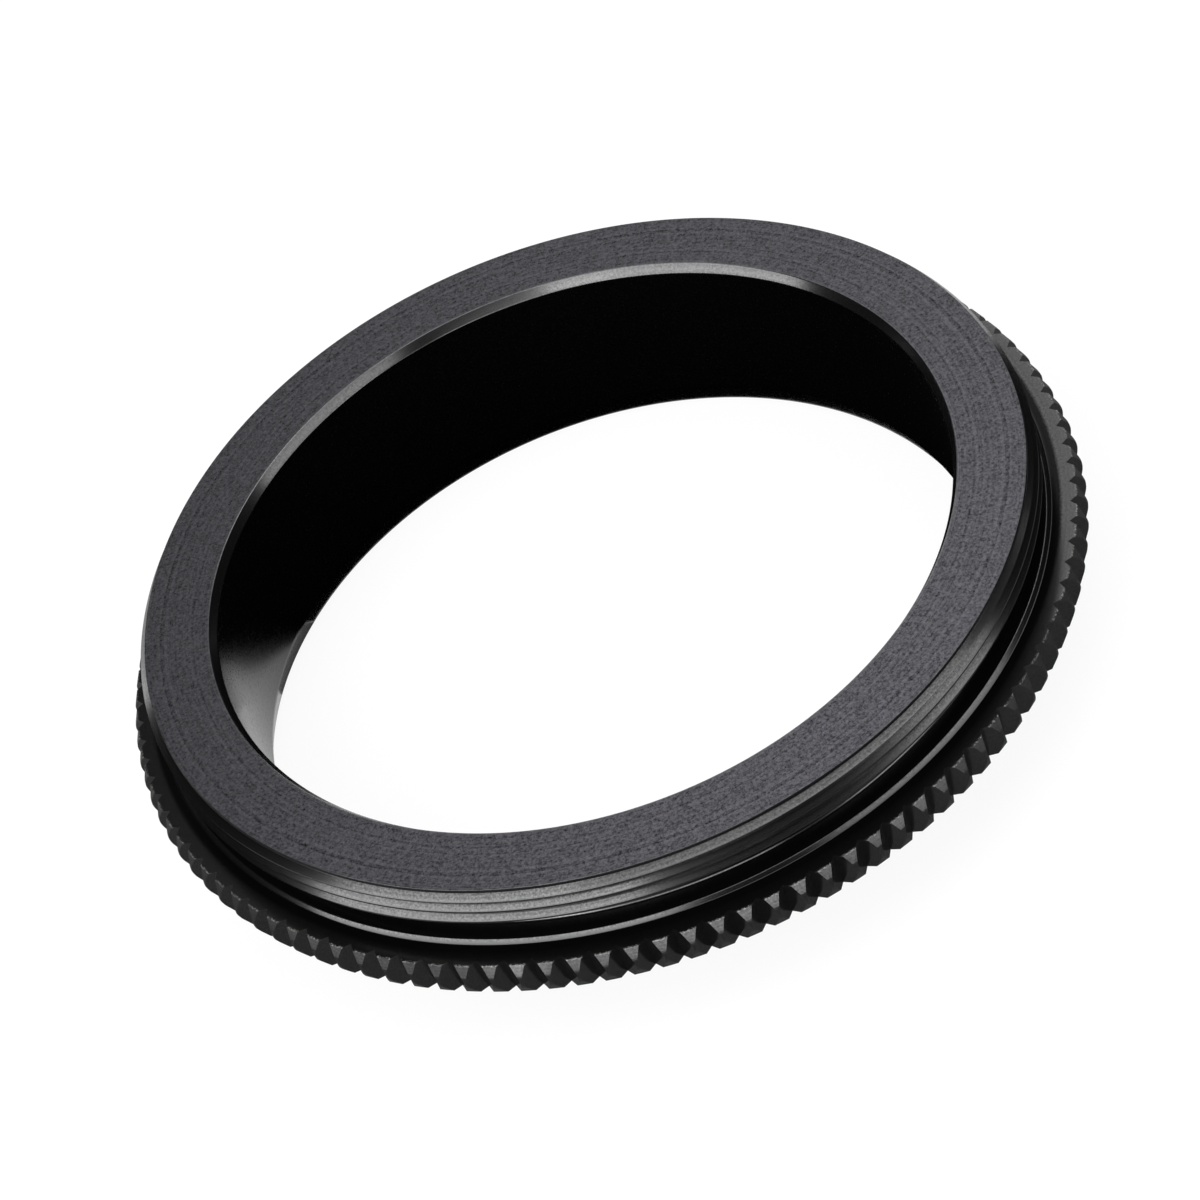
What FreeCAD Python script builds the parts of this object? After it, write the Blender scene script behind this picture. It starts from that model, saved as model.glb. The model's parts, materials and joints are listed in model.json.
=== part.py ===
# Telescope thread adapter: one turned ring with a male thread at each end and a knurled grip between them.
# Millimetres, +Z along the optical axis towards the larger thread, origin on the axis at the lower end face.
import FreeCAD, Part
import os
import Sketcher
from FreeCAD import Vector

doc = FreeCAD.newDocument("telescope_thread_adapter")

# Driving sizes, bottom to top, then what cuts across them
sheet = doc.addObject("Spreadsheet::Sheet", "sizes")
DRIVING_SIZES = [
    ("lower_thread_dia", 42.0, "crest of the smaller thread"),
    ("lower_thread_length", 3.9, "smaller thread, end face to relief"),
    ("lower_lead", 0.5, "45 degree lead at the smaller thread's end"),
    ("lower_relief_width", 1.0, "run-out groove under the grip"),
    ("lower_relief_depth", 0.6, "run-out groove, below the smaller thread's crest"),
    ("lower_wall", 1.3, "bore to the smaller thread's crest"),
    ("thread_step", 3.0, "larger thread outside the smaller one, on the radius"),
    ("upper_thread_length", 2.1, "larger thread, relief to end face"),
    ("pilot_depth", 0.4, "plain pilot at the larger thread's end, below its crest"),
    ("pilot_height", 0.21, "plain pilot along the axis"),
    ("upper_lead", 0.24, "slope from the pilot to the crest, along the axis"),
    ("upper_relief_width", 1.32, "run-out groove above the seat"),
    ("upper_relief_depth", 1.2, "run-out groove, below the larger thread's crest"),
    ("seat_inset", 0.13, "seat's upper edge inside the larger thread's crest, on the radius"),
    ("seat_height", 0.18, "raised seat above the grip's top face"),
    ("seat_slope", 0.2, "slanted edge of the seat, on the radius"),
    ("grip_reach", 1.75, "grip outside the larger thread's crest, on the radius"),
    ("grip_width", 2.0, "grip along the axis"),
    ("grip_chamfer_reach", 0.37, "chamfer on both edges of the grip, on the radius"),
    ("grip_chamfer_height", 0.75, "chamfer on both edges of the grip, along the axis"),
    ("tooth_count", 111, "straight knurl around the grip"),
    ("tooth_angle", 86.0, "included angle of a knurl groove, degrees"),
    ("tooth_crest", 0.04, "flat left on top of a knurl tooth, at mid width of the grip"),
    ("mouth_width", 0.33, "bevel of the bore's upper mouth, on the radius"),
    ("mouth_depth", 0.46, "bevel of the bore's upper mouth, along the axis"),
    ("flare_width", 0.5, "flare of the bore's lower end, on the radius"),
    ("flare_depth", 1.4, "flare of the bore's lower end, along the axis"),
]
for row, (alias, value, meaning) in enumerate(DRIVING_SIZES, start=1):
    sheet.set(f"A{row}", meaning)
    sheet.set(f"B{row}", str(value))
    sheet.setAlias(f"B{row}", alias)
doc.recompute()

# Radii, worked out from the driving sizes
lower_radius = "(sizes.lower_thread_dia / 2)"
lower_relief_radius = f"({lower_radius} - sizes.lower_relief_depth)"
bore_radius = f"({lower_radius} - sizes.lower_wall)"
upper_radius = f"({lower_radius} + sizes.thread_step)"
upper_relief_radius = f"({upper_radius} - sizes.upper_relief_depth)"
pilot_radius = f"({upper_radius} - sizes.pilot_depth)"
seat_radius = f"({upper_radius} - sizes.seat_inset)"
tip_radius = f"({upper_radius} + sizes.grip_reach)"
rim_radius = f"({tip_radius} - sizes.grip_chamfer_reach)"

# Heights, stacked from the lower end face
grip_bottom = "(sizes.lower_thread_length + sizes.lower_relief_width)"
grip_top = f"({grip_bottom} + sizes.grip_width)"
seat_top = f"({grip_top} + sizes.seat_height)"
upper_thread_start = f"({seat_top} + sizes.upper_relief_width)"
top = f"({upper_thread_start} + sizes.upper_thread_length)"
pilot_bottom = f"({top} - sizes.pilot_height)"

# A knurl groove is as deep as the tooth pitch, its angle and the crest flat leave it
half_groove = f"((2 * pi * {tip_radius} / sizes.tooth_count - sizes.tooth_crest) / 2)"
groove_slope = "tan(sizes.tooth_angle / 2 * 1 deg)"
groove_depth = f"({half_groove} / {groove_slope})"


def origin_feature(body, role):
    return next(feature for feature in body.Origin.OriginFeatures if feature.Role == role)


def add_sketch(body, name, plane_role):
    sketch = body.newObject("Sketcher::SketchObject", name)
    sketch.AttachmentSupport = [(origin_feature(body, plane_role), "")]
    sketch.MapMode = "FlatFace"
    return sketch


def close_outline(sketch, corners):
    """Draws a closed outline of straight lines and ties each corner, (across, up), to its two expressions."""
    # A rough start of the right shape, so that the solver only has to settle it
    start = [Vector(float(evaluate(across)), float(evaluate(up)), 0) for across, up in corners]
    count = len(corners)
    for index in range(count):
        sketch.addGeometry(Part.LineSegment(start[index], start[(index + 1) % count]))
    for index in range(count):
        sketch.addConstraint(Sketcher.Constraint("Coincident", index, 2, (index + 1) % count, 1))
    for index, (across, up) in enumerate(corners):
        tie(sketch, "DistanceX", index, f"across_{index}", across, start[index].x)
        tie(sketch, "DistanceY", index, f"up_{index}", up, start[index].y)


def evaluate(expression):
    return sheet.evalExpression(expression)


def tie(sketch, kind, line, name, expression, value):
    """Sets the distance from the sketch's origin to a line's first end."""
    constraint = sketch.addConstraint(Sketcher.Constraint(kind, -1, 1, line, 1, value))
    sketch.renameConstraint(constraint, name)
    sketch.setExpression(f"Constraints.{name}", expression)


ring = doc.addObject("PartDesign::Body", "adapter_ring")
ring.Label = "adapter_ring"

# Turned section: up the outside from the lower end face, across the top and down the bore
section = add_sketch(ring, "turned_section", "XZ_Plane")
close_outline(section, [
    (f"{bore_radius} + sizes.flare_width", "0"),
    (f"{lower_radius} - sizes.lower_lead", "0"),
    (lower_radius, "sizes.lower_lead"),
    (lower_radius, "sizes.lower_thread_length"),
    (lower_relief_radius, "sizes.lower_thread_length"),
    (lower_relief_radius, grip_bottom),
    (rim_radius, grip_bottom),
    (tip_radius, f"{grip_bottom} + sizes.grip_chamfer_height"),
    (tip_radius, f"{grip_top} - sizes.grip_chamfer_height"),
    (rim_radius, grip_top),
    (f"{seat_radius} + sizes.seat_slope", grip_top),
    (seat_radius, seat_top),
    (upper_relief_radius, seat_top),
    (upper_relief_radius, upper_thread_start),
    (upper_radius, upper_thread_start),
    (upper_radius, f"{pilot_bottom} - sizes.upper_lead"),
    (pilot_radius, pilot_bottom),
    (pilot_radius, top),
    (f"{bore_radius} + sizes.mouth_width", top),
    (bore_radius, f"{top} - sizes.mouth_depth"),
    (bore_radius, "sizes.flare_depth"),
])
turned = ring.newObject("PartDesign::Revolution", "turned_ring")
turned.Profile = section
turned.ReferenceAxis = (origin_feature(ring, "Z_Axis"), [""])
turned.Angle = 360
doc.recompute()

# One knurl groove, a V cut straight through the grip from below, wider than the grip at its mouth
groove_overshoot = 0.5
groove_mouth = f"{tip_radius} + {groove_overshoot}"
groove_half_mouth = f"({half_groove} + {groove_overshoot} * {groove_slope})"
groove_outline = add_sketch(ring, "knurl_groove_outline", "XY_Plane")
close_outline(groove_outline, [
    (f"{tip_radius} - {groove_depth}", "0"),
    (groove_mouth, f"-{groove_half_mouth}"),
    (groove_mouth, groove_half_mouth),
])
groove = ring.newObject("PartDesign::Pocket", "knurl_groove")
groove.Profile = groove_outline
groove.Type = "ThroughAll"
groove.Reversed = True
doc.recompute()

# The straight knurl: the groove repeated all round
knurl = ring.newObject("PartDesign::PolarPattern", "knurl")
knurl.Originals = [groove]
knurl.Axis = (origin_feature(ring, "Z_Axis"), [""])
knurl.Angle = 360
knurl.setExpression("Occurrences", "sizes.tooth_count")
groove.Visibility = False
ring.Tip = knurl
doc.recompute()

# Nothing is written unless every object is up to date and the solid is whole
for item in doc.Objects:
    if "Invalid" in item.State or "Error" in item.State:
        raise RuntimeError(f"{item.Name} failed: {item.State}")
if ring.Shape.isNull() or not ring.Shape.isValid():
    raise RuntimeError("adapter_ring is not a valid solid")
if len(ring.Shape.Solids) != 1:
    raise RuntimeError("adapter_ring is not one solid")
if not ring.Shape.Volume < turned.Shape.Volume:
    raise RuntimeError("the knurl cut nothing")

os.makedirs("parts", exist_ok=True)
ring.Shape.exportStep(f"parts/{ring.Label}.step")
print(ring.Label, "volume", round(ring.Shape.Volume, 2), "faces", len(ring.Shape.Faces), ring.Shape.BoundBox)
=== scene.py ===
# Telescope thread adapter: one ring, turned, threaded at both ends, knurled round its grip, anodised black.
# The ring is modelled in millimetres, as on a lathe, and brought to metres when it is finished.
import bmesh
import bpy
import json
from math import cos, pi, radians, sin, tan, tau
from mathutils import Matrix, Vector


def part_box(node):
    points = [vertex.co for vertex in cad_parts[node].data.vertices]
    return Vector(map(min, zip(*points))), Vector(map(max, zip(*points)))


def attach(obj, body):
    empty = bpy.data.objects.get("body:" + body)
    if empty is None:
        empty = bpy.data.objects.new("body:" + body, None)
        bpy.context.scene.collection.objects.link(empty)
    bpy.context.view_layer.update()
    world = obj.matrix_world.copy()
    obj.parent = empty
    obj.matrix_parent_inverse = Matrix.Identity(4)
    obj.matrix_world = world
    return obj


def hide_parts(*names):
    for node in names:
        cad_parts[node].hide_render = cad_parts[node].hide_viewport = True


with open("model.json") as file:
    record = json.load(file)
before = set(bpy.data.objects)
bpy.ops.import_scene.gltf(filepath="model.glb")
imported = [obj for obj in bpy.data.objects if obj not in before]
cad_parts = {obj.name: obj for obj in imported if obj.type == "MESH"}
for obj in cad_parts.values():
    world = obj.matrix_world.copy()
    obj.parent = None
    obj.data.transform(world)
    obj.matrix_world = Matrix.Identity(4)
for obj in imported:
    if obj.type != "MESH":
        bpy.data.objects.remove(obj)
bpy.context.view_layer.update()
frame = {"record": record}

MM = 0.001

# Sizes that the frame gives, in millimetres
mounts = {mount["name"]: mount["dims"] for mount in frame["record"]["mounts"]}
upper_crest = mounts["upper_thread"]["r_mm"]
lower_crest = mounts["lower_thread"]["r_mm"]
bore_radius = mounts["light_path"]["r_mm"]
ring_low, ring_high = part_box("adapter_ring")
top = ring_high.z / MM
tip_radius = ring_high.y / MM

# The lower end and its run-out groove
lower_thread_end = 3.9
lower_lead = 0.5
lower_relief_radius = lower_crest - 0.6
flare_width = 0.5
flare_depth = 1.4

# The grip
grip_bottom = lower_thread_end + 1.0
grip_top = grip_bottom + 2.0
rim_radius = tip_radius - 0.37
rim_height = 0.75
tooth_count = 111
tooth_crest = 0.1
tooth_flank_angle = radians(43)

# The seat, the run-out groove and the upper end
seat_top = grip_top + 0.18
seat_radius = upper_crest - 0.13
seat_slope = 0.2
upper_relief_radius = upper_crest - 1.2
upper_thread_start = seat_top + 1.32
pilot_radius = upper_crest - 0.4
pilot_bottom = top - 0.21
lead_bottom = pilot_bottom - 0.24
mouth_width = 0.33
mouth_depth = 0.46

# Both threads are fine ones; their flanks open a little wider than 60 degrees, worn and coated as they are
thread_pitch = 0.75
thread_depth = 0.39
thread_crest_flat = 0.1
thread_flank_angle = radians(37)

# How finely round things are divided
steps_round_ring = 4 * tooth_count
steps_round_thread = 2 * tooth_count
steps_round_corner = 4
merge_distance = 0.0005


def start_outline(name, corners):
    """Starts a piece as one vertex and extrudes it from corner to corner, back to the first."""
    bpy.ops.object.select_all(action="DESELECT")
    bpy.ops.mesh.primitive_plane_add(size=1.0)
    piece = bpy.context.object
    piece.name = name
    bpy.ops.object.mode_set(mode="EDIT")
    bpy.ops.mesh.merge(type="CENTER")
    bpy.ops.transform.translate(value=corners[0])
    for here, there in zip(corners, corners[1:] + corners[:1]):
        bpy.ops.mesh.extrude_region_move(TRANSFORM_OT_translate={"value": there - here})
    bpy.ops.mesh.select_all(action="SELECT")
    bpy.ops.mesh.remove_doubles(threshold=merge_distance)
    return piece


def select_near(places):
    """Selects, in edit mode, the vertices at these places and nothing else."""
    bpy.ops.mesh.select_all(action="DESELECT")
    mesh = bmesh.from_edit_mesh(bpy.context.object.data)
    for vertex in mesh.verts:
        if any((vertex.co - place).length < merge_distance for place in places):
            vertex.select_set(True)
    bmesh.update_edit_mesh(bpy.context.object.data)


def round_corners(corners, roundings):
    """Rounds each corner of an outline by its own amount."""
    for rounding in sorted(set(roundings) - {0}):
        select_near([corner for corner, own in zip(corners, roundings) if own == rounding])
        bpy.ops.mesh.bevel(offset=rounding, segments=steps_round_corner, affect="VERTICES")
    bpy.ops.mesh.select_all(action="SELECT")


def tidy_skin():
    """Merges what meets, turns every face outwards and leaves edit mode."""
    bpy.ops.mesh.select_all(action="SELECT")
    bpy.ops.mesh.remove_doubles(threshold=merge_distance)
    bpy.ops.mesh.normals_make_consistent(inside=False)
    bpy.ops.object.mode_set(mode="OBJECT")


def turn_blank():
    """The ring as it leaves the lathe, before threading and knurling: a half section spun round the axis."""
    section = [
        # radius, height, rounding of the corner
        (bore_radius + flare_width, 0.0, 0.05),
        (lower_crest - lower_lead, 0.0, 0.05),
        (lower_crest, lower_lead, 0.05),
        (lower_crest, lower_thread_end, 0.03),
        (lower_relief_radius, lower_thread_end, 0.1),
        (lower_relief_radius, grip_bottom, 0.15),
        (rim_radius, grip_bottom, 0),
        (tip_radius, grip_bottom + rim_height, 0.24),
        (tip_radius, grip_top - rim_height, 0.24),
        (rim_radius, grip_top, 0),
        (seat_radius + seat_slope, grip_top, 0.03),
        (seat_radius, seat_top, 0.04),
        (upper_relief_radius, seat_top, 0.15),
        (upper_relief_radius, upper_thread_start, 0.1),
        (upper_crest, upper_thread_start, 0.03),
        (upper_crest, lead_bottom, 0.02),
        (pilot_radius, pilot_bottom, 0.02),
        (pilot_radius, top, 0.035),
        (bore_radius + mouth_width, top, 0.04),
        (bore_radius, top - mouth_depth, 0.05),
        (bore_radius, flare_depth, 0.2),
    ]
    corners = [Vector((radius, 0.0, height)) for radius, height, rounding in section]
    blank = start_outline("adapter_ring_turned", corners)
    round_corners(corners, [rounding for radius, height, rounding in section])
    bpy.ops.mesh.spin(steps=steps_round_ring, angle=tau, center=(0, 0, 0), axis=(0, 0, 1))
    tidy_skin()
    return blank


def knurl_cutters():
    """One V-shaped cutter, copied round the grip."""
    half_groove = (2 * pi * tip_radius / tooth_count - tooth_crest) / 2
    root_radius = tip_radius - half_groove / tan(tooth_flank_angle)
    clear = 0.6
    mouth_half = half_groove + clear * tan(tooth_flank_angle)
    below = grip_bottom - clear
    cutter = start_outline("knurl_cutters", [
        Vector((root_radius, 0.0, below)),
        Vector((tip_radius + clear, mouth_half, below)),
        Vector((tip_radius + clear, -mouth_half, below)),
    ])
    bpy.ops.mesh.edge_face_add()
    rise = grip_top - grip_bottom + 2 * clear
    bpy.ops.mesh.extrude_region_move(TRANSFORM_OT_translate={"value": (0, 0, rise)})
    bpy.ops.mesh.select_all(action="SELECT")
    copies = tooth_count - 1
    bpy.ops.mesh.spin(
        steps=copies, angle=tau * copies / tooth_count, center=(0, 0, 0), axis=(0, 0, 1), dupli=True
    )
    tidy_skin()
    return cutter


def thread_cutter(name, crest, start_height, turns):
    """A V-shaped ridge wound up the axis as a right-hand helix, open at both ends."""
    clear = 0.05
    mouth_half = (thread_pitch - thread_crest_flat) / 2 + clear * tan(thread_flank_angle)
    root_half = mouth_half - (thread_depth + clear) * tan(thread_flank_angle)
    corners = [
        Vector((crest - thread_depth, 0.0, start_height - root_half)),
        Vector((crest + clear, 0.0, start_height - mouth_half)),
        Vector((crest + clear, 0.0, start_height + mouth_half)),
        Vector((crest - thread_depth, 0.0, start_height + root_half)),
    ]
    cutter = start_outline(name, corners)
    bpy.ops.object.mode_set(mode="OBJECT")
    winding = cutter.modifiers.new("winding", "SCREW")
    winding.axis = "Z"
    winding.angle = tau
    winding.screw_offset = thread_pitch
    winding.iterations = turns
    winding.steps = steps_round_thread
    winding.render_steps = steps_round_thread
    winding.use_merge_vertices = False
    bpy.ops.object.modifier_apply(modifier=winding.name)
    return cutter


def close_ends():
    """Fills the open ends of a wound cutter."""
    bpy.ops.mesh.select_all(action="DESELECT")
    bpy.ops.mesh.select_non_manifold()
    bpy.ops.mesh.fill()


def upper_thread_cutter():
    """The larger thread's cutter, which runs out above the lead and below in the run-out groove."""
    groove_height_at_front = top - 0.76
    front_to_side = 0.25
    turns = 4
    end_height = groove_height_at_front + (1 + front_to_side) * thread_pitch
    cutter = thread_cutter("upper_thread_cutter", upper_crest, end_height - turns * thread_pitch, turns)
    bpy.ops.object.mode_set(mode="EDIT")
    close_ends()
    tidy_skin()
    return cutter


def lower_thread_cutter():
    """The smaller thread's cutter, which runs out through the lead and into the run-out groove."""
    below_end_face = -0.45
    turns = 6
    cutter = thread_cutter("lower_thread_cutter", lower_crest, below_end_face, turns)
    bpy.ops.object.mode_set(mode="EDIT")
    close_ends()
    tidy_skin()
    return cutter


def cut(piece, cutter):
    """Takes the cutter's shape out of the piece."""
    cutting = piece.modifiers.new("cutting", "BOOLEAN")
    cutting.operation = "DIFFERENCE"
    cutting.solver = "EXACT"
    cutting.object = cutter
    bpy.ops.object.select_all(action="DESELECT")
    piece.select_set(True)
    bpy.context.view_layer.objects.active = piece
    bpy.ops.object.modifier_apply(modifier=cutting.name)
    bpy.data.objects.remove(cutter)


def soften_knurl():
    """Takes the sharpness off every tooth: its ridge and the rims of its two chamfers."""
    innermost = tip_radius - 0.85
    sharp = radians(15)
    rounding = 0.045
    bpy.ops.object.mode_set(mode="EDIT")
    bpy.ops.mesh.select_mode(type="EDGE")
    bpy.ops.mesh.select_all(action="DESELECT")
    mesh = bmesh.from_edit_mesh(bpy.context.object.data)
    for edge in mesh.edges:
        on_grip = all(vertex.co.xy.length > innermost for vertex in edge.verts)
        if on_grip and edge.is_convex and edge.calc_face_angle() > sharp:
            edge.select_set(True)
    bmesh.update_edit_mesh(bpy.context.object.data)
    bpy.ops.mesh.bevel(offset=rounding, segments=2, affect="EDGES", clamp_overlap=True)
    bpy.ops.mesh.select_mode(type="VERT")
    tidy_skin()


ring = turn_blank()
cut(ring, knurl_cutters())
soften_knurl()
cut(ring, upper_thread_cutter())
cut(ring, lower_thread_cutter())
bpy.ops.object.mode_set(mode="EDIT")
tidy_skin()

# Wide faces keep their own direction, and the narrow roundings between them take the whole turn
bpy.ops.object.shade_smooth_by_angle(angle=radians(12))
weighting = ring.modifiers.new("weighting", "WEIGHTED_NORMAL")
weighting.keep_sharp = True
bpy.ops.object.modifier_apply(modifier=weighting.name)


def assign_zone(slot, belongs):
    """Gives a material slot to the faces whose middle height and outward lean belong to a zone."""
    ring.active_material_index = slot
    bpy.ops.object.mode_set(mode="EDIT")
    bpy.ops.mesh.select_mode(type="FACE")
    bpy.ops.mesh.select_all(action="DESELECT")
    mesh = bmesh.from_edit_mesh(ring.data)
    for face in mesh.faces:
        middle = face.calc_center_median()
        outward = face.normal.xy.dot(middle.xy.normalized())
        if belongs(middle.z, outward):
            face.select_set(True)
    bmesh.update_edit_mesh(ring.data)
    bpy.ops.object.material_slot_assign()
    bpy.ops.mesh.select_mode(type="VERT")
    bpy.ops.object.mode_set(mode="OBJECT")


def on_end_face(height, outward):
    """The flat faces at both ends."""
    margin = 0.005
    return height > top - margin or height < margin


def in_bore(height, outward):
    """The bore's wall and its flare, up to the bevelled mouth."""
    facing_axis = -0.9
    return outward < facing_axis and height < top - mouth_depth


def linear(hex_colour):
    """An sRGB hex colour as linear red, green, blue and alpha."""
    channels = [int(hex_colour[place:place + 2], 16) / 255 for place in (1, 3, 5)]
    return [c / 12.92 if c <= 0.04045 else ((c + 0.055) / 1.055) ** 2.4 for c in channels] + [1.0]


def add_node(tree, kind, settings=None, inputs=None):
    """Adds a node; an input is either a value or the socket that feeds it."""
    node = tree.nodes.new(kind)
    for name, value in (settings or {}).items():
        setattr(node, name, value)
    for name, value in (inputs or {}).items():
        if isinstance(value, bpy.types.NodeSocket):
            tree.links.new(value, node.inputs[name])
        else:
            node.inputs[name].default_value = value
    return node


def new_material(name):
    material = bpy.data.materials.new(name)
    material.use_nodes = True
    material.node_tree.nodes.clear()
    return material, material.node_tree


def place_in_mm(tree):
    """The object's own coordinates in millimetres, the radius from the axis and the height."""
    coordinates = add_node(tree, "ShaderNodeTexCoord")
    place = add_node(tree, "ShaderNodeVectorMath", {"operation": "SCALE"}, {
        0: coordinates.outputs["Object"], "Scale": 1 / MM})
    flat = add_node(tree, "ShaderNodeVectorMath", {"operation": "MULTIPLY"}, {
        0: place.outputs[0], 1: (1, 1, 0)})
    radius = add_node(tree, "ShaderNodeVectorMath", {"operation": "LENGTH"}, {0: flat.outputs[0]})
    axes = add_node(tree, "ShaderNodeSeparateXYZ", inputs={0: place.outputs[0]})
    return place.outputs["Vector"], radius.outputs["Value"], axes.outputs["Z"]


def satin_anodised():
    """Fine-blasted, then anodised: a dark grey bloom with a fine light and dark grain."""
    material, tree = new_material("satin_black_anodised")
    place, radius, _ = place_in_mm(tree)
    # Grit leaves pits of about 0.05 mm and facing leaves rings about as close; both are drawn coarser
    grain = add_node(tree, "ShaderNodeTexNoise", inputs={
        "Vector": place, "Scale": 7.0, "Detail": 6.0, "Roughness": 0.85})
    facing = add_node(tree, "ShaderNodeTexNoise", {"noise_dimensions": "1D"}, {
        "W": radius, "Scale": 4.0, "Detail": 4.0, "Roughness": 0.8})
    blend = add_node(tree, "ShaderNodeMix", {"data_type": "FLOAT"}, {
        "Factor": 0.2, "A": grain.outputs[0], "B": facing.outputs[0]})
    shine = add_node(tree, "ShaderNodeMapRange", inputs={
        "Value": blend.outputs[0], "From Min": 0.39, "From Max": 0.61, "To Min": 0.0, "To Max": 1.25})
    rough = add_node(tree, "ShaderNodeMapRange", inputs={
        "Value": facing.outputs[0], "From Min": 0.3, "From Max": 0.7, "To Min": 0.37, "To Max": 0.32})
    bump = add_node(tree, "ShaderNodeBump", inputs={
        "Strength": 0.25, "Distance": 0.02 * MM, "Height": grain.outputs[0]})
    shader = add_node(tree, "ShaderNodeBsdfPrincipled", inputs={
        "Base Color": linear("#060607"), "Roughness": rough.outputs[0], "IOR": 1.65,
        "Specular IOR Level": shine.outputs[0], "Specular Tint": linear("#f4f2ff"),
        "Normal": bump.outputs[0]})
    add_node(tree, "ShaderNodeOutputMaterial", inputs={"Surface": shader.outputs["BSDF"]})
    return material


def turned_anodised():
    """Left as turned, then anodised: smoother than the blasted faces, so each facet is light or black."""
    material, tree = new_material("turned_black_anodised")
    place, radius, height = place_in_mm(tree)
    # The tool's feed is about 0.1 mm a turn; the coat's own grain is finer, and drawn as coarse, to show
    speckle = add_node(tree, "ShaderNodeTexNoise", inputs={
        "Vector": place, "Scale": 9.0, "Detail": 4.0, "Roughness": 0.8})
    across = add_node(tree, "ShaderNodeCombineXYZ", inputs={0: radius, 1: height})
    tool_lines = add_node(tree, "ShaderNodeTexNoise", inputs={
        "Vector": across.outputs[0], "Scale": 9.0, "Detail": 3.0, "Roughness": 0.7})
    blend = add_node(tree, "ShaderNodeMix", {"data_type": "FLOAT"}, {
        "Factor": 0.3, "A": speckle.outputs[0], "B": tool_lines.outputs[0]})
    grain = add_node(tree, "ShaderNodeMapRange", inputs={
        "Value": blend.outputs[0], "From Min": 0.4, "From Max": 0.6})
    # Painted shade: the upper thread's roots stay dark, standing in for the shade that falls in them, and the
    # light part of each flank ends in a ragged line
    ragged = add_node(tree, "ShaderNodeMath", {"operation": "MULTIPLY_ADD"}, {
        0: speckle.outputs[0], 1: 0.3, 2: radius})
    above_root = add_node(tree, "ShaderNodeMath", {"operation": "SUBTRACT"}, {
        0: ragged.outputs[0], 1: upper_crest - thread_depth + 0.15})
    from_root = add_node(tree, "ShaderNodeMath", {"operation": "ABSOLUTE"}, {0: above_root.outputs[0]})
    root_shade = add_node(tree, "ShaderNodeMapRange", inputs={
        "Value": from_root.outputs[0], "From Min": 0.04, "From Max": 0.32, "To Min": 0.25, "To Max": 0.55})
    grain_and_root_shade = add_node(tree, "ShaderNodeMix", {"data_type": "FLOAT"}, {
        "Factor": 0.35, "A": root_shade.outputs[0], "B": grain.outputs[0]})
    # Painted shade: beside the seat the grip's top face stays blacker, in a band with a ragged edge, standing
    # in for the shade that the thread throws on it
    off_band = add_node(tree, "ShaderNodeMath", {"operation": "SUBTRACT"}, {
        0: ragged.outputs[0], 1: upper_crest + 0.47})
    from_band = add_node(tree, "ShaderNodeMath", {"operation": "ABSOLUTE"}, {0: off_band.outputs[0]})
    seat_band_shade = add_node(tree, "ShaderNodeMapRange", inputs={
        "Value": from_band.outputs[0], "From Min": 0.16, "From Max": 0.36, "To Min": 0.1, "To Max": 1.0})
    shine = add_node(tree, "ShaderNodeMath", {"operation": "MULTIPLY"}, {
        0: grain_and_root_shade.outputs[0], 1: seat_band_shade.outputs[0]})
    # Painted highlights: the upper edge of the grip turns light grey in specks, standing in for glints on the
    # knurl's burrs
    beside_edge = add_node(tree, "ShaderNodeMath", {"operation": "SUBTRACT"}, {0: radius, 1: rim_radius})
    below_edge = add_node(tree, "ShaderNodeMath", {"operation": "SUBTRACT"}, {0: height, 1: grip_top})
    off_edge = add_node(tree, "ShaderNodeCombineXYZ", inputs={
        0: beside_edge.outputs[0], 1: below_edge.outputs[0]})
    from_edge = add_node(tree, "ShaderNodeVectorMath", {"operation": "LENGTH"}, {0: off_edge.outputs[0]})
    near_edge = add_node(tree, "ShaderNodeMapRange", inputs={
        "Value": from_edge.outputs["Value"], "From Min": 0.03, "From Max": 0.1, "To Min": 1.0, "To Max": 0.0})
    specks = add_node(tree, "ShaderNodeMapRange", inputs={
        "Value": speckle.outputs[0], "From Min": 0.5, "From Max": 0.6})
    edge_glints = add_node(tree, "ShaderNodeMath", {"operation": "MULTIPLY"}, {
        0: near_edge.outputs[0], 1: specks.outputs[0]})
    colour = add_node(tree, "ShaderNodeMix", {"data_type": "RGBA"}, {
        "Factor": edge_glints.outputs[0], 6: linear("#040404"), 7: linear("#646462")})
    rough = add_node(tree, "ShaderNodeMapRange", inputs={
        "Value": grain.outputs[0], "To Min": 0.2, "To Max": 0.15})
    shader = add_node(tree, "ShaderNodeBsdfPrincipled", inputs={
        "Base Color": colour.outputs[2], "Roughness": rough.outputs[0], "IOR": 1.7,
        "Specular IOR Level": shine.outputs[0]})
    add_node(tree, "ShaderNodeOutputMaterial", inputs={"Surface": shader.outputs["BSDF"]})
    return material


def matt_black_bore():
    """Matt black against stray light: swallows light face on and shines only along the wall."""
    material, tree = new_material("matt_black_bore")
    place, _, _ = place_in_mm(tree)
    # The coat's grain is about 0.05 mm, and drawn three times as coarse, to show
    grain = add_node(tree, "ShaderNodeTexNoise", inputs={
        "Vector": place, "Scale": 6.0, "Detail": 3.0, "Roughness": 0.7})
    sheen = add_node(tree, "ShaderNodeMapRange", inputs={
        "Value": grain.outputs[0], "From Min": 0.3, "From Max": 0.7, "To Min": 0.3, "To Max": 0.2})
    shader = add_node(tree, "ShaderNodeBsdfPrincipled", inputs={
        "Base Color": linear("#010101"), "Roughness": sheen.outputs[0], "IOR": 1.4})
    add_node(tree, "ShaderNodeOutputMaterial", inputs={"Surface": shader.outputs["BSDF"]})
    return material


for finish in (turned_anodised(), satin_anodised(), matt_black_bore()):
    ring.data.materials.append(finish)
assign_zone(1, on_end_face)
assign_zone(2, in_bore)
ring.scale = (MM, MM, MM)
bpy.ops.object.transform_apply(location=False, rotation=False, scale=True)
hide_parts("adapter_ring")
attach(ring, "root")

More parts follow.
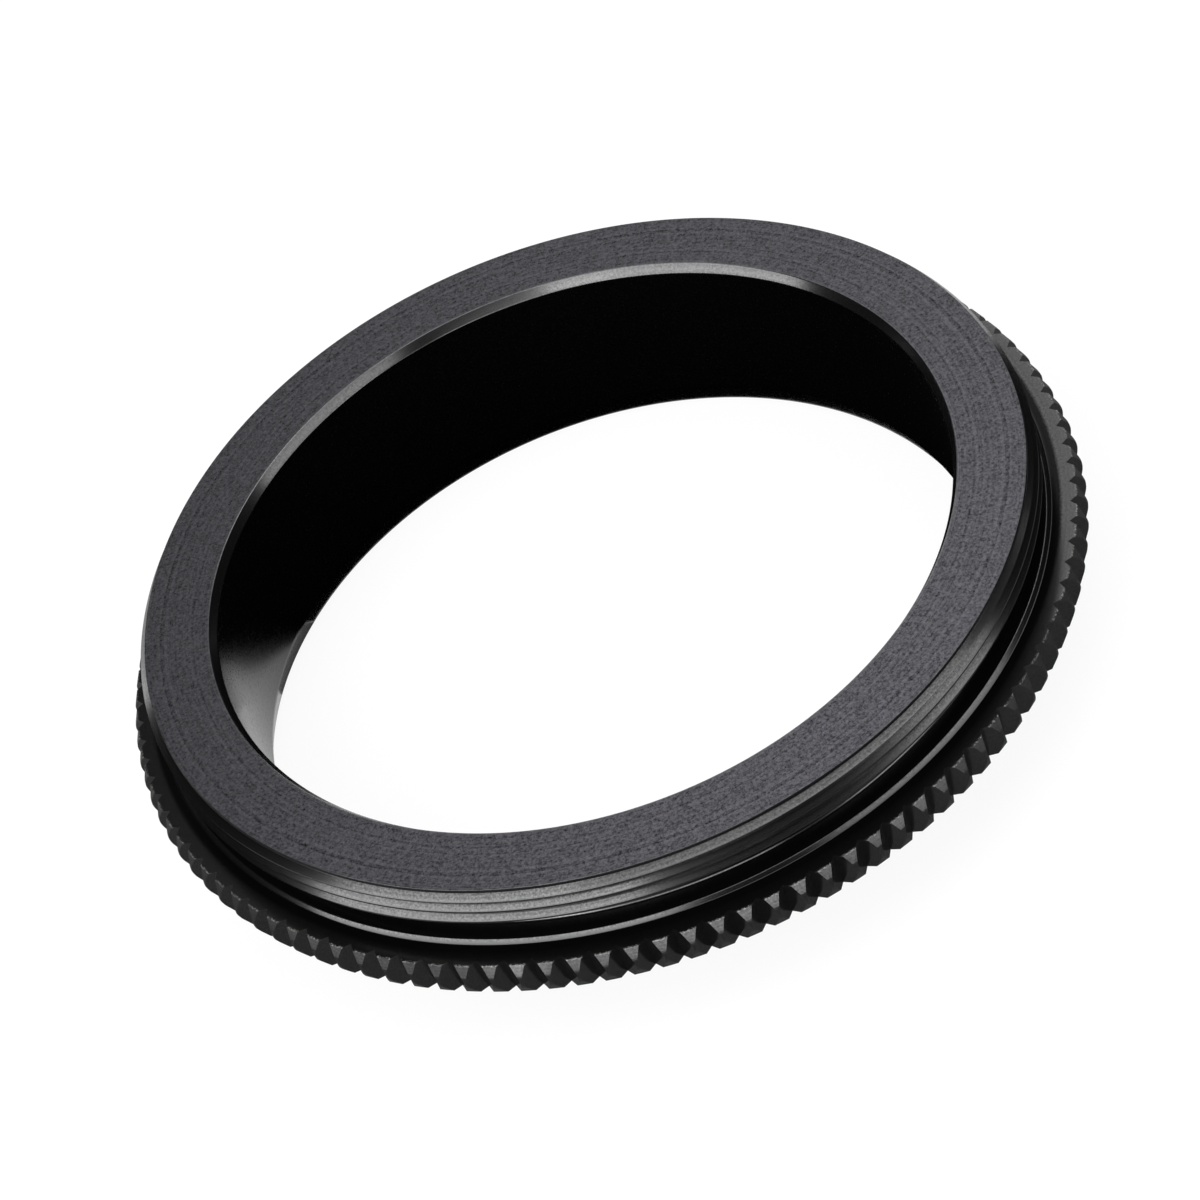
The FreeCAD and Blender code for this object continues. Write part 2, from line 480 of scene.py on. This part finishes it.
# Stage: a white table that stays white to the eye and in reflections, and keeps a faint shadow
bpy.ops.object.select_all(action="DESELECT")
bpy.ops.mesh.primitive_plane_add(size=4.0)
floor = bpy.context.object
floor.name = "floor"
floor_material, tree = new_material("white_table")
ray = add_node(tree, "ShaderNodeLightPath")
seen = add_node(tree, "ShaderNodeMath", {"operation": "ADD"}, {
    0: ray.outputs["Is Camera Ray"], 1: ray.outputs["Is Glossy Ray"]})
shown = add_node(tree, "ShaderNodeMath", {"operation": "ADD", "use_clamp": True}, {
    0: seen.outputs[0], 1: ray.outputs["Is Transmission Ray"]})
share = add_node(tree, "ShaderNodeMath", {"operation": "MULTIPLY"}, {0: shown.outputs[0], 1: 0.9})
paper = add_node(tree, "ShaderNodeBsdfDiffuse", inputs={"Color": linear("#e8e8e8")})
glow = add_node(tree, "ShaderNodeEmission", inputs={"Strength": 1.0})
mixed = add_node(tree, "ShaderNodeMixShader", inputs={
    0: share.outputs[0], 1: paper.outputs[0], 2: glow.outputs[0]})
add_node(tree, "ShaderNodeOutputMaterial", inputs={"Surface": mixed.outputs[0]})
floor.data.materials.append(floor_material)


def add_card(name, radius, inner_radius, colour):
    """A dark card on the table that only reflections see, round or with a round hole: painted shade, standing
    in for shade on the table.
    """
    bpy.ops.object.select_all(action="DESELECT")
    bpy.ops.mesh.primitive_circle_add(
        vertices=96, radius=radius * MM, fill_type="NGON", location=(0, 0, 0.05 * MM)
    )
    card = bpy.context.object
    card.name = name
    if inner_radius:
        bpy.ops.object.mode_set(mode="EDIT")
        bpy.ops.mesh.select_all(action="SELECT")
        bpy.ops.mesh.inset(thickness=(radius - inner_radius) * MM)
        bpy.ops.mesh.delete(type="FACE")
        bpy.ops.object.mode_set(mode="OBJECT")
    card.visible_camera = False
    card.visible_diffuse = False
    card.visible_shadow = False
    material, tree = new_material(name)
    card_shade = add_node(tree, "ShaderNodeBsdfDiffuse", inputs={"Color": linear(colour)})
    add_node(tree, "ShaderNodeOutputMaterial", inputs={"Surface": card_shade.outputs[0]})
    card.data.materials.append(material)


def trim_card(place, kept_side):
    """Cuts the card just made along a straight line and keeps one side of it."""
    bpy.ops.object.mode_set(mode="EDIT")
    bpy.ops.mesh.select_all(action="SELECT")
    bpy.ops.mesh.bisect(plane_co=place, plane_no=kept_side, clear_inner=True)
    bpy.ops.object.mode_set(mode="OBJECT")


# Painted shade in reflections: the table lies in the ring's own shade inside it, all but a strip on the left,
# and is dim close round it, further out on the right; dark cards that only reflections see stand in for it
strip_edge = (-14.5 * MM, 0, 0)
strip_side = Vector((0.9986, 0.0523, 0))
add_card("shade_card", 20.15, 0, "#060606")
trim_card(strip_edge, strip_side)
add_card("foot_shade_card", 20.4, 19.5, "#a0a0a0")
trim_card(strip_edge, -strip_side)
trim_card((0, 8.8 * MM, 0), (0, 1, 0))
add_card("dim_card", 60, 20.4, "#606060")
add_card("right_dim_card", 200, 60, "#606060")
trim_card((5 * MM, 0, 0), (1, 0, 0))

world = bpy.data.worlds.new("studio")
bpy.context.scene.world = world
world.use_nodes = True
background = world.node_tree.nodes["Background"]
background.inputs["Strength"].default_value = 0.02
background.inputs["Color"].default_value = (1, 1, 1, 1)


def add_softbox(name, azimuth, elevation, width, height, brightness, turned=0):
    """A soft panel of light at half a metre, facing the ring; angles and sizes in degrees seen from it."""
    distance = 0.5
    towards = Vector((
        cos(radians(azimuth)) * cos(radians(elevation)),
        sin(radians(azimuth)) * cos(radians(elevation)),
        sin(radians(elevation)),
    ))
    panel = bpy.data.lights.new(name, "AREA")
    panel.shape = "RECTANGLE"
    panel.size = 2 * distance * tan(radians(width / 2))
    panel.size_y = 2 * distance * tan(radians(height / 2))
    panel.energy = brightness * 4 * panel.size * panel.size_y
    box = bpy.data.objects.new(name, panel)
    bpy.context.scene.collection.objects.link(box)
    box.location = towards * distance
    facing = towards.to_track_quat("Z", "Y").to_matrix()
    box.rotation_euler = (facing @ Matrix.Rotation(radians(turned), 3, "Z")).to_euler()
    box.visible_camera = False


# Azimuth, elevation, width, height and brightness
add_softbox("left", 211.5, 35, 60, 60, 3.4, turned=-15)
add_softbox("right", 326, 27, 46, 46, 1.9)
add_softbox("front", 258, 18, 48, 30, 2.3)
add_softbox("front_right", 300, 9, 40, 12, 1.7)
add_softbox("overhead", 20, 84, 53, 64, 2.0)
add_softbox("back", 55, 55, 56, 32, 0.97)
add_softbox("backdrop", 91, 8, 80, 16, 1.9)

# Camera, at the photograph's angle
camera_data = bpy.data.cameras.new("camera")
camera_data.lens = 133.98
camera_data.clip_start = 0.01
camera = bpy.data.objects.new("camera", camera_data)
bpy.context.scene.collection.objects.link(camera)
camera_place = Vector((-0.23, -170.53, 163.86)) * MM
camera_elevation = radians(42.88)
camera_roll = radians(-22.96)
camera.matrix_world = (
    Matrix.Translation(camera_place)
    @ Matrix.Rotation(radians(90) - camera_elevation, 4, "X")
    @ Matrix.Rotation(camera_roll, 4, "Z")
)
bpy.context.scene.camera = camera
bpy.context.scene.view_settings.view_transform = "Standard"
